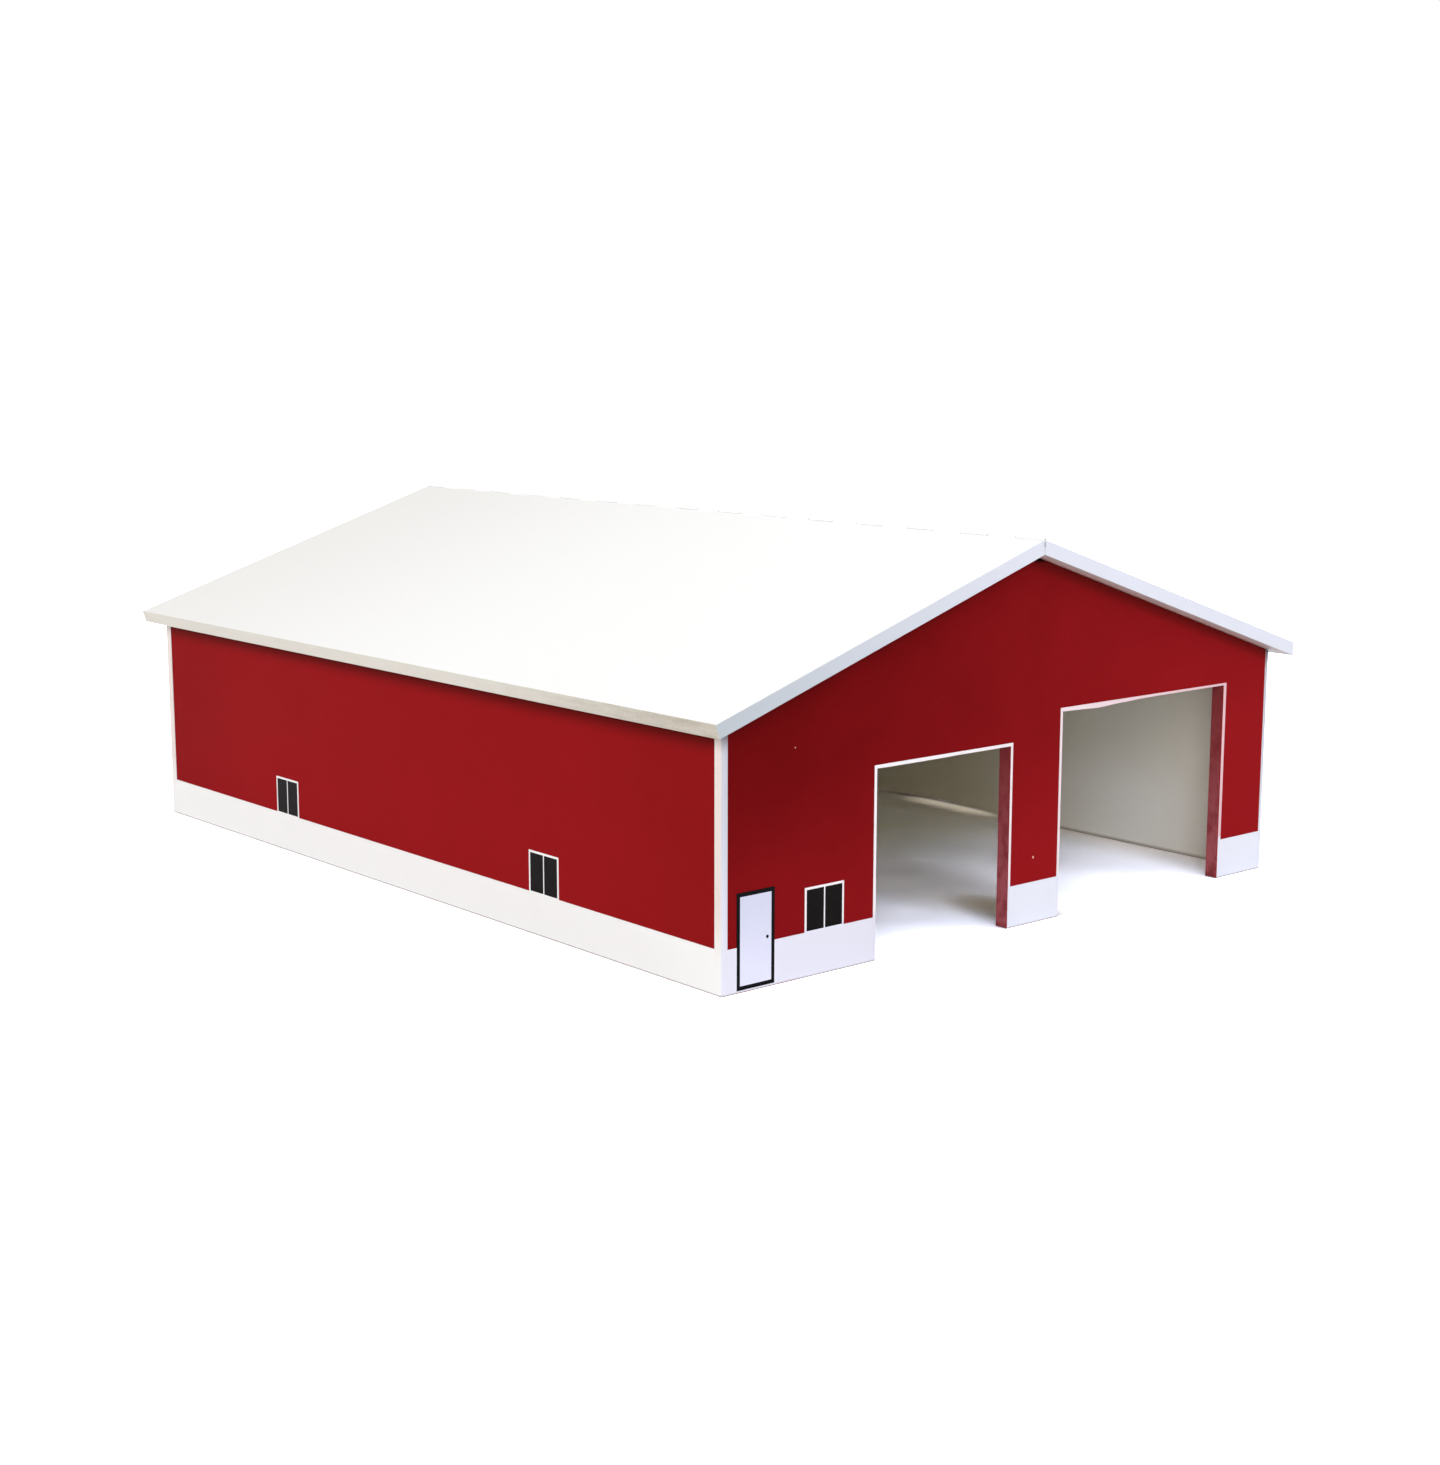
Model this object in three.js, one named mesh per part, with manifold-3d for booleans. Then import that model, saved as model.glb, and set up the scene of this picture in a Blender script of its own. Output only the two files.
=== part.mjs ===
// Toy garage shed: four glued board walls with printed trim film, and a two-board gable roof whose
// left board lifts on a hinge along the ridge.
// Millimetres. +X runs along the gable from its left to its right, +Y from the front to the back, +Z up.
// The origin is on the ground, under the middle of the ridge.
import * as THREE from 'three';
import { mergeVertices } from 'three/addons/utils/BufferGeometryUtils.js';
import Module from 'manifold-3d';

const wasm = await Module();
wasm.setup();

// Walls
const GABLE_WIDTH = 305;
const WALL_LENGTH = 410;
const WALL_HEIGHT = 95;
const RIDGE_RISE = 50;
const WALL_BOARD = 5.5;
const CORNER_RADIUS = 1.2;
const GLUE_LINE = 0.3;
const BLOCK_SIDE = 9;
const BLOCK_FOOT = 6;
const BLOCK_HEAD_GAP = 9;

// Where the right wall's foot has bowed off the ground
const BOW_LENGTH = 90;
const BOW_HEIGHT = 1.6;
const BOW_FROM_FRONT = 184;

// Roof boards
const ROOF_BOARD = 5.5;
const LEFT_EAVE_OVERHANG = 9.3;
const RIGHT_EAVE_OVERHANG = 6.4;
const FRONT_OVERHANG = 7.8;
const BACK_OVERHANG = 5.2;
const SEAT_GAP = 0.3;
const RIDGE_CHAMFER = 0.5;

// Ridge hinge
const LEAF_THICKNESS = 0.4;
const LEAF_DEPTH = 2.9;
const LEAF_GAP = 0.1;
const REBATE_FOOT_GAP = 0.1;
const PIN_RADIUS = 0.3;
const PIN_CLEARANCE = 0.08;
const PIN_LIFT = 0.15;
const KNUCKLE_WALL = 0.22;
const KNUCKLE_GAP = 0.2;
const KNUCKLE_COUNT = 29;
const BRAD_RADIUS = 0.4;
const BRAD_LENGTH = 4;
const BRAD_ABOVE_LEAF_FOOT = 1;
const BRAD_LEAF_CLEARANCE = 0.2;
const BRAD_BOARD_CLEARANCE = 0.3;
const BRAD_COUNT = 5;
const BRAD_END_MARGIN = 21;

// Trim film
const FILM = 0.15;
const FILM_FOOT = 0.35;
const WAINSCOT_TOP = 16.6;
const GABLE_STRIP = 2.45;
const SIDE_STRIP_FRONT = 3.75;
const SIDE_STRIP_BACK = 5.2;
const LEFT_BAND = 1.2;

// Vehicle openings: clear sizes, the middle as a share of the gable's width, the widths of the film band
// over the head and along the right side, and how far the right band stands off the opening's edge
const SMALL_OPENING = {
  middleShare: 0.357, width: 70.75, height: 71.9, headBand: 1.2, rightBand: 1.1, rightOff: 0.35,
};
const LARGE_OPENING = {
  middleShare: 0.7345, width: 100.45, height: 82.8, headBand: 0.9, rightBand: 1.5, rightOff: 0.55,
};

// Walk-in door film, on the front wall
const DOOR_LEFT = 6.7;
const DOOR_FOOT = 1;
const DOOR_WIDTH = 17.5;
const DOOR_HEIGHT = 34.9;
const DOOR_BAND = 1.5;
const KNOB_RADIUS = 0.6;
const KNOB_THICKNESS = 0.1;
const KNOB_FROM_FRAME = 1.85;
const KNOB_HEIGHT = 17.4;

// Window films: sizes, and middles as shares of the wall's length from its left or front corner
const WINDOW_WIDTH = 19;
const WINDOW_HEIGHT = 16.3;
const WINDOW_BAND = 0.85;
const WINDOW_SILL = 0.35;
const WINDOW_MULLION = 0.6;
const FRONT_WINDOW_SHARE = 0.1576;
const SIDE_WINDOW_SHARES = [0.2544, 0.7268];

// How far a cutting solid runs past what it cuts, and how far a joined one runs into its neighbour
const OVERRUN = 20;
const SINK = 0.2;

// Counts of sides
const ARC_STEPS = 6;
const KNUCKLE_SIDES = 8;
const BRAD_SIDES = 8;
const KNOB_SIDES = 12;
const BOW_STEPS = 12;

// Derived places
const halfWidth = GABLE_WIDTH / 2;
const pitch = Math.atan2(RIDGE_RISE, halfWidth);
const roofLength = FRONT_OVERHANG + WALL_LENGTH + BACK_OVERHANG;
const roofFront = -roofLength / 2;
const roofBack = roofLength / 2;
const wallFront = roofFront + FRONT_OVERHANG;
const wallBack = wallFront + WALL_LENGTH;
const boardRise = ROOF_BOARD / Math.cos(pitch);
const ridgeTop = WALL_HEIGHT + RIDGE_RISE + boardRise;
const pinHeight = ridgeTop + PIN_LIFT;
const knuckleBore = PIN_RADIUS + PIN_CLEARANCE;
const knuckleRadius = knuckleBore + KNUCKLE_WALL;
const leafInner = LEAF_GAP / 2;
const leafOuter = leafInner + LEAF_THICKNESS;

// Height of the roof's underside over a place x
const underside = (x) => WALL_HEIGHT + (halfWidth - Math.abs(x)) * Math.tan(pitch);

// Turns an outline into a closed prism: along +Y for an outline in X and Z, along +X for one in Y and Z,
// and along +Z for one in X and Y
const axes = {
  y: new THREE.Matrix4().makeBasis(
    new THREE.Vector3(1, 0, 0), new THREE.Vector3(0, 0, 1), new THREE.Vector3(0, -1, 0)),
  x: new THREE.Matrix4().makeBasis(
    new THREE.Vector3(0, 1, 0), new THREE.Vector3(0, 0, 1), new THREE.Vector3(1, 0, 0)),
  z: new THREE.Matrix4(),
};

function prism(axis, outline, from, to) {
  const shape = new THREE.Shape(outline.map(([u, v]) => new THREE.Vector2(u, v)));
  const settings = { depth: to - from, bevelEnabled: false, curveSegments: 1 };
  const geometry = new THREE.ExtrudeGeometry(shape, settings);
  geometry.applyMatrix4(axes[axis]);
  const start = axis === 'y' ? to : from;
  geometry.translate(axis === 'x' ? start : 0, axis === 'y' ? start : 0, axis === 'z' ? start : 0);
  return geometry;
}

const rectangle = (left, low, right, high) => [[left, low], [right, low], [right, high], [left, high]];

function box(x0, y0, z0, x1, y1, z1) {
  return prism('z', rectangle(x0, y0, x1, y1), z0, z1);
}

// A round bar or tube along Y, centred on the origin's axis
function barAlongY(radius, from, to, sides) {
  const geometry = new THREE.CylinderGeometry(radius, radius, to - from, sides);
  geometry.translate(0, (from + to) / 2, 0);
  return geometry;
}

function barAlongX(radius, from, to, sides) {
  const geometry = new THREE.CylinderGeometry(radius, radius, to - from, sides);
  geometry.rotateZ(-Math.PI / 2);
  geometry.translate((from + to) / 2, 0, 0);
  return geometry;
}

// Booleans
function solid(geometry) {
  const bare = geometry.index ? geometry.toNonIndexed() : geometry.clone();
  bare.deleteAttribute('normal');
  bare.deleteAttribute('uv');
  const merged = mergeVertices(bare);
  const mesh = new wasm.Mesh({
    numProp: 3,
    vertProperties: new Float32Array(merged.attributes.position.array),
    triVerts: new Uint32Array(merged.index.array),
  });
  return new wasm.Manifold(mesh);
}

function geometryOf(manifold) {
  const mesh = manifold.getMesh();
  const geometry = new THREE.BufferGeometry();
  geometry.setAttribute('position', new THREE.BufferAttribute(new Float32Array(mesh.vertProperties), 3));
  geometry.setIndex(new THREE.BufferAttribute(new Uint32Array(mesh.triVerts), 1));
  return geometry;
}

const joined = (pieces) => pieces.map(solid).reduce((whole, next) => whole.add(next));
const cut = (whole, tools) => tools.map(solid).reduce((left, tool) => left.subtract(tool), whole);
const kept = (whole, tools) => tools.map(solid).reduce((left, tool) => left.intersect(tool), whole);

// Materials
function paint(color, roughness, metalness = 0) {
  return new THREE.MeshStandardMaterial({ color, roughness, metalness });
}

const RED = 0xa01c20;
const WHITE = 0xf2f0ea;
const ROOF_WHITE = 0xf4f3ee;
const BLACK = 0x161618;
const PANE = 0x1f1c1c;
const LEAF_WHITE = 0xe6e8f4;
const WOOD = 0xc9ab7c;
const STEEL = 0xb8bac0;

const shed = new THREE.Group();

function place(parent, name, geometry, material) {
  const mesh = new THREE.Mesh(geometry.isBufferGeometry ? geometry : geometryOf(geometry), material);
  mesh.name = name;
  parent.add(mesh);
  return mesh;
}

// The shed's plan, grown by a film's thickness, with its corners rounded
function planOutline(grow) {
  const x = halfWidth + grow;
  const radius = CORNER_RADIUS + grow;
  const centres = [
    [x - radius, wallFront - grow + radius, -1], [x - radius, wallBack + grow - radius, 0],
    [radius - x, wallBack + grow - radius, 1], [radius - x, wallFront - grow + radius, 2],
  ];
  const outline = [];
  for (const [cx, cy, quarter] of centres) {
    for (let step = 0; step <= ARC_STEPS; step += 1) {
      const angle = (quarter + step / ARC_STEPS) * Math.PI / 2;
      outline.push([cx + radius * Math.cos(angle), cy + radius * Math.sin(angle)]);
    }
  }
  return outline;
}

// All that stands under the roof is cut to this: the space from a foot height up to the roof's seat
function underRoof(foot) {
  const edge = halfWidth + OVERRUN;
  const outline = [
    [-edge, foot], [edge, foot], [edge, underside(edge) - SEAT_GAP],
    [0, underside(0) - SEAT_GAP], [-edge, underside(edge) - SEAT_GAP],
  ];
  return prism('y', outline, wallFront - OVERRUN, wallBack + OVERRUN);
}

// Walls: each is its share of the rounded plan, mitred at its two ends
const mitreGap = GLUE_LINE / Math.SQRT2;

function gableShare(outerFace, inward) {
  const inner = outerFace + inward * WALL_BOARD;
  const outerEnd = halfWidth - mitreGap;
  const innerEnd = outerEnd - WALL_BOARD;
  return [[-outerEnd, outerFace], [outerEnd, outerFace], [innerEnd, inner], [-innerEnd, inner]];
}

function sideShare(outerFace, inward) {
  const inner = outerFace + inward * WALL_BOARD;
  const front = wallFront + mitreGap;
  const back = wallBack - mitreGap;
  return [[outerFace, back], [outerFace, front], [inner, front + WALL_BOARD], [inner, back - WALL_BOARD]];
}

function wall(share) {
  const board = solid(prism('z', share, 0, ridgeTop));
  return kept(board, [prism('z', planOutline(0), 0, ridgeTop), underRoof(0)]);
}

const openings = [SMALL_OPENING, LARGE_OPENING].map(({ middleShare, width, ...rest }) => {
  const middle = middleShare * GABLE_WIDTH - halfWidth;
  return { left: middle - width / 2, right: middle + width / 2, ...rest };
});

const openingCuts = openings.map(({ left, right, height }) => (
  box(left, wallFront - OVERRUN, -OVERRUN, right, wallFront + WALL_BOARD + OVERRUN, height)
));

// The bowed foot of the right wall, as a shallow arch from its front end to its back end
function bowCut() {
  const start = wallFront + BOW_FROM_FRONT - BOW_LENGTH / 2;
  const outline = [[start, -OVERRUN]];
  for (let step = 0; step <= BOW_STEPS; step += 1) {
    const share = step / BOW_STEPS;
    outline.push([start + share * BOW_LENGTH, BOW_HEIGHT * Math.sin(Math.PI * share)]);
  }
  outline.push([start + BOW_LENGTH, -OVERRUN]);
  return prism('x', outline, halfWidth - WALL_BOARD - OVERRUN, halfWidth + OVERRUN);
}

place(shed, 'front_wall', cut(wall(gableShare(wallFront, 1)), openingCuts), paint(RED, 0.55));
place(shed, 'back_wall', wall(gableShare(wallBack, -1)), paint(RED, 0.55));
place(shed, 'left_wall', wall(sideShare(-halfWidth, 1)), paint(RED, 0.55));
place(shed, 'right_wall', cut(wall(sideShare(halfWidth, -1)), [bowCut()]), paint(RED, 0.55));

// Square blocks glued into the inside corners
const innerX = halfWidth - WALL_BOARD;
const sides = [['left', -1], ['right', 1]];
const ends = [['front', wallFront + WALL_BOARD, 1], ['back', wallBack - WALL_BOARD, -1]];
for (const [side, sx] of sides) {
  for (const [end, inner, sy] of ends) {
    const far = [sx * (innerX - BLOCK_SIDE), inner + sy * BLOCK_SIDE];
    const near = [sx * innerX, inner];
    const block = box(
      Math.min(far[0], near[0]), Math.min(far[1], near[1]), BLOCK_FOOT,
      Math.max(far[0], near[0]), Math.max(far[1], near[1]), WALL_HEIGHT - BLOCK_HEAD_GAP);
    place(shed, `corner_block_${end}_${side}`, block, paint(WOOD, 0.8));
  }
}

// Corner strips: film bent round each corner
function cornerStrip(sx, front) {
  const ring = cut(solid(prism('z', planOutline(FILM), FILM_FOOT, ridgeTop)),
    [prism('z', planOutline(0), -OVERRUN, ridgeTop + OVERRUN)]);
  const sideStrip = front ? SIDE_STRIP_FRONT : SIDE_STRIP_BACK;
  const x = [sx * (halfWidth - GABLE_STRIP), sx * (halfWidth + OVERRUN)].sort((a, b) => a - b);
  const y = front
    ? [wallFront - OVERRUN, wallFront + sideStrip]
    : [wallBack - sideStrip, wallBack + OVERRUN];
  return kept(ring, [box(x[0], y[0], 0, x[1], y[1], ridgeTop + OVERRUN), underRoof(FILM_FOOT)]);
}

for (const [side, sx] of sides) {
  place(shed, `corner_strip_front_${side}`, cornerStrip(sx, true), paint(WHITE, 0.45));
  place(shed, `corner_strip_back_${side}`, cornerStrip(sx, false), paint(WHITE, 0.45));
}

// Front trim: one film of wainscot and opening bands, with a notch for the door
const doorLeft = DOOR_LEFT - halfWidth;
const doorRight = doorLeft + DOOR_WIDTH;
const stripInner = halfWidth - GABLE_STRIP;

function frontTrim() {
  const outline = [[-stripInner, FILM_FOOT]];
  for (const { left, right, height, rightOff } of openings) {
    const bandInner = right + rightOff;
    outline.push([left, FILM_FOOT], [left, height], [bandInner, height], [bandInner, FILM_FOOT]);
  }
  outline.push([stripInner, FILM_FOOT], [stripInner, WAINSCOT_TOP]);
  for (const { left, right, height, headBand, rightBand, rightOff } of [...openings].reverse()) {
    const top = height + headBand;
    const bandOuter = right + rightOff + rightBand;
    outline.push([bandOuter, WAINSCOT_TOP], [bandOuter, top]);
    outline.push([left - LEFT_BAND, top], [left - LEFT_BAND, WAINSCOT_TOP]);
  }
  outline.push([doorRight, WAINSCOT_TOP], [doorRight, DOOR_FOOT]);
  outline.push([doorLeft, DOOR_FOOT], [doorLeft, WAINSCOT_TOP]);
  outline.push([-stripInner, WAINSCOT_TOP]);
  return prism('y', outline, wallFront - FILM, wallFront);
}

place(shed, 'front_trim', frontTrim(), paint(WHITE, 0.45));
place(shed, 'back_wainscot',
  prism('y', rectangle(-stripInner, FILM_FOOT, stripInner, WAINSCOT_TOP), wallBack, wallBack + FILM),
  paint(WHITE, 0.45));

const sideBand = rectangle(
  wallFront + SIDE_STRIP_FRONT, FILM_FOOT, wallBack - SIDE_STRIP_BACK, WAINSCOT_TOP);
place(shed, 'left_wainscot', prism('x', sideBand, -halfWidth - FILM, -halfWidth), paint(WHITE, 0.45));
place(shed, 'right_wainscot', prism('x', sideBand, halfWidth, halfWidth + FILM), paint(WHITE, 0.45));

// Walk-in door film: black frame, pale leaf, and a raised dot for the knob
const doorTop = DOOR_FOOT + DOOR_HEIGHT;
const doorOutline = rectangle(doorLeft, DOOR_FOOT, doorRight, doorTop);
const doorLeaf = rectangle(
  doorLeft + DOOR_BAND, DOOR_FOOT + DOOR_BAND, doorRight - DOOR_BAND, doorTop - DOOR_BAND);
const doorHole = prism('y', doorLeaf, wallFront - OVERRUN, wallFront + OVERRUN);
place(shed, 'door_frame', cut(solid(prism('y', doorOutline, wallFront - FILM, wallFront)), [doorHole]),
  paint(BLACK, 0.5));
place(shed, 'door_leaf', prism('y', doorLeaf, wallFront - FILM, wallFront), paint(LEAF_WHITE, 0.45));

const knobFace = wallFront - FILM;
const knob = barAlongY(KNOB_RADIUS, knobFace - KNOB_THICKNESS, knobFace, KNOB_SIDES);
const knobMesh = place(shed, 'door_knob', knob, paint(BLACK, 0.5));
knobMesh.position.set(doorRight - DOOR_BAND - KNOB_FROM_FRAME, 0, DOOR_FOOT + KNOB_HEIGHT);

// Window films: a pale frame with a mullion, and two dark panes let into it
function windowOutlines(centre) {
  const left = centre - WINDOW_WIDTH / 2;
  const right = centre + WINDOW_WIDTH / 2;
  const top = WAINSCOT_TOP + WINDOW_HEIGHT;
  const frame = rectangle(left, WAINSCOT_TOP, right, top);
  const low = WAINSCOT_TOP + WINDOW_SILL;
  const high = top - WINDOW_BAND;
  const panes = [
    rectangle(left + WINDOW_BAND, low, centre - WINDOW_MULLION / 2, high),
    rectangle(centre + WINDOW_MULLION / 2, low, right - WINDOW_BAND, high),
  ];
  return { frame, panes };
}

function placeWindow(name, axis, centre, from, to) {
  const { frame, panes } = windowOutlines(centre);
  const holes = panes.map((pane) => prism(axis, pane, from - OVERRUN, to + OVERRUN));
  place(shed, `${name}_frame`, cut(solid(prism(axis, frame, from, to)), holes), paint(WHITE, 0.45));
  panes.forEach((pane, index) => {
    place(shed, `${name}_pane_${index + 1}`, prism(axis, pane, from, to), paint(PANE, 0.35));
  });
}

const frontWindowX = FRONT_WINDOW_SHARE * GABLE_WIDTH - halfWidth;
placeWindow('front_window', 'y', frontWindowX, wallFront - FILM, wallFront);
SIDE_WINDOW_SHARES.forEach((share, index) => {
  const centre = wallFront + share * WALL_LENGTH;
  placeWindow(`left_window_${index + 1}`, 'x', centre, -halfWidth - FILM, -halfWidth);
  placeWindow(`right_window_${index + 1}`, 'x', centre, halfWidth, halfWidth + FILM);
});

// Roof boards, drawn about the hinge pin, so that the left one can turn with its group.
// Each has a rebate for its hinge leaf, and below the leaves the two boards all but meet.
const rebateFoot = ridgeTop - LEAF_DEPTH - REBATE_FOOT_GAP;

// The left board's eave is cut square to the board, and the right board's plumb
function eaveEnd(side) {
  const x = halfWidth + (side < 0 ? LEFT_EAVE_OVERHANG : RIGHT_EAVE_OVERHANG);
  const top = underside(x) + boardRise;
  const foot = side < 0
    ? [x - ROOF_BOARD * Math.sin(pitch), top - ROOF_BOARD * Math.cos(pitch)]
    : [x, underside(x)];
  return [foot, [x, top]];
}

function roofOutline(side) {
  const seamTop = underside(leafOuter) + boardRise;
  const chamferX = leafOuter + RIDGE_CHAMFER;
  return [
    [leafInner, underside(leafInner)],
    ...eaveEnd(side),
    [chamferX, underside(chamferX) + boardRise],
    [leafOuter, seamTop - RIDGE_CHAMFER],
    [leafOuter, rebateFoot],
    [leafInner, rebateFoot],
  ].map(([x, z]) => [side * x, z - pinHeight]);
}

// Places of the hinge brads along the ridge, half a step apart on the two leaves
function bradPlaces(side) {
  const span = roofLength - 2 * BRAD_END_MARGIN;
  const step = span / (BRAD_COUNT - 1 / 2);
  const start = roofFront + BRAD_END_MARGIN + (side > 0 ? 0 : step / 2);
  return Array.from({ length: BRAD_COUNT }, (_, index) => start + index * step);
}

const plateFoot = ridgeTop - LEAF_DEPTH - pinHeight;

// Round bars that slope down with the board, measured from the leaf's inner face
function bradBars(side, radius, from, to) {
  return bradPlaces(side).map((y) => {
    const bar = barAlongX(radius, from, to, BRAD_SIDES);
    bar.rotateY(side > 0 ? pitch : Math.PI - pitch);
    bar.translate(side * leafInner, y, plateFoot + BRAD_ABOVE_LEAF_FOOT);
    return bar;
  });
}

function roofBoard(side) {
  const board = solid(prism('y', roofOutline(side), roofFront, roofBack));
  const holeRadius = BRAD_RADIUS + BRAD_BOARD_CLEARANCE;
  return cut(board, bradBars(side, holeRadius, -OVERRUN, BRAD_LENGTH + BRAD_BOARD_CLEARANCE));
}

// Hinge leaves: a plate in the seam with every other knuckle of the ridge rolled on it
const knuckleStep = roofLength / KNUCKLE_COUNT;

function hingeLeaf(side) {
  const plateX = [side * leafInner, side * leafOuter].sort((a, b) => a - b);
  const plateTop = -knuckleRadius - KNUCKLE_GAP;
  const parts = [box(plateX[0], roofFront, plateFoot, plateX[1], roofBack, plateTop)];
  const odd = side > 0 ? 0 : 1;
  for (let index = odd; index < KNUCKLE_COUNT; index += 2) {
    const start = roofFront + index * knuckleStep;
    const from = index === 0 ? start : start + KNUCKLE_GAP / 2;
    const to = index === KNUCKLE_COUNT - 1 ? roofBack : start + knuckleStep - KNUCKLE_GAP / 2;
    parts.push(box(plateX[0], from, plateTop - SINK, plateX[1], to, -knuckleBore));
    parts.push(barAlongY(knuckleRadius, from, to, KNUCKLE_SIDES));
  }
  const bore = barAlongY(knuckleBore, roofFront - OVERRUN, roofBack + OVERRUN, KNUCKLE_SIDES);
  const bradHoles = bradBars(side, BRAD_RADIUS + BRAD_LEAF_CLEARANCE, -OVERRUN, OVERRUN);
  return cut(joined(parts), [bore, ...bradHoles]);
}

function placeBrads(parent, name, side) {
  const head = BRAD_RADIUS * Math.tan(pitch);
  bradBars(side, BRAD_RADIUS, head, BRAD_LENGTH).forEach((bar, index) => {
    place(parent, `${name}_${index + 1}`, bar, paint(STEEL, 0.4, 0.6));
  });
}

const ridge = new THREE.Group();
ridge.position.z = pinHeight;
shed.add(ridge);
place(ridge, 'right_roof_board', roofBoard(1), paint(ROOF_WHITE, 0.5));
place(ridge, 'fixed_hinge_leaf', hingeLeaf(1), paint(STEEL, 0.4, 0.6));
place(ridge, 'hinge_pin', barAlongY(PIN_RADIUS, roofFront, roofBack, KNUCKLE_SIDES),
  paint(STEEL, 0.3, 0.8));
placeBrads(ridge, 'fixed_leaf_brad', 1);

const lid = new THREE.Group();
ridge.add(lid);
place(lid, 'left_roof_board', roofBoard(-1), paint(ROOF_WHITE, 0.5));
place(lid, 'moving_hinge_leaf', hingeLeaf(-1), paint(STEEL, 0.4, 0.6));
placeBrads(lid, 'moving_leaf_brad', -1);

export default shed;
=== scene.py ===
"""Looks of the toy garage shed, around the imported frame. Metres, in the frame's own axes."""

import bpy
from mathutils import Matrix, Vector


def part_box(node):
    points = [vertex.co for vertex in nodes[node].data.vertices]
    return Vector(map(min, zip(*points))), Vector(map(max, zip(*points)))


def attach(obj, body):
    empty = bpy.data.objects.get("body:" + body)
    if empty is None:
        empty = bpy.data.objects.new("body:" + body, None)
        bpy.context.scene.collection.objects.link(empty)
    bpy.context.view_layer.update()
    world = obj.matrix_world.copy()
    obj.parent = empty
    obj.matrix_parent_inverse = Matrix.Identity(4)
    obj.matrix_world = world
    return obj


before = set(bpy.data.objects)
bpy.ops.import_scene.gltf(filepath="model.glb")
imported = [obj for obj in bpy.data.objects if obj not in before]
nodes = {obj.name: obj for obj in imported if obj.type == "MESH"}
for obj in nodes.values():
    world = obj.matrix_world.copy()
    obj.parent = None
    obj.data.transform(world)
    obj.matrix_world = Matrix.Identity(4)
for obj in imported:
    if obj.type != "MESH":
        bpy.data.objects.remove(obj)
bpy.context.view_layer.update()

MM = 0.001
FRONT = Vector((0, -1, 0))
BACK = Vector((0, 1, 0))
LEFT = Vector((-1, 0, 0))
RIGHT = Vector((1, 0, 0))
UP = Vector((0, 0, 1))
# A face looks along a direction where its normal goes further along it than this
FACING = 0.6
WHITE = (1, 1, 1, 1)


def srgb(red, green, blue):
    """A colour written as it is seen, 0 to 255, as the linear colour that the shaders take."""
    def linear(value):
        value = value / 255
        return value / 12.92 if value <= 0.04045 else ((value + 0.055) / 1.055) ** 2.4
    return (linear(red), linear(green), linear(blue), 1)


def add(name, data):
    """A new object of the scene."""
    thing = bpy.data.objects.new(name, data)
    bpy.context.scene.collection.objects.link(thing)
    return thing


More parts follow.
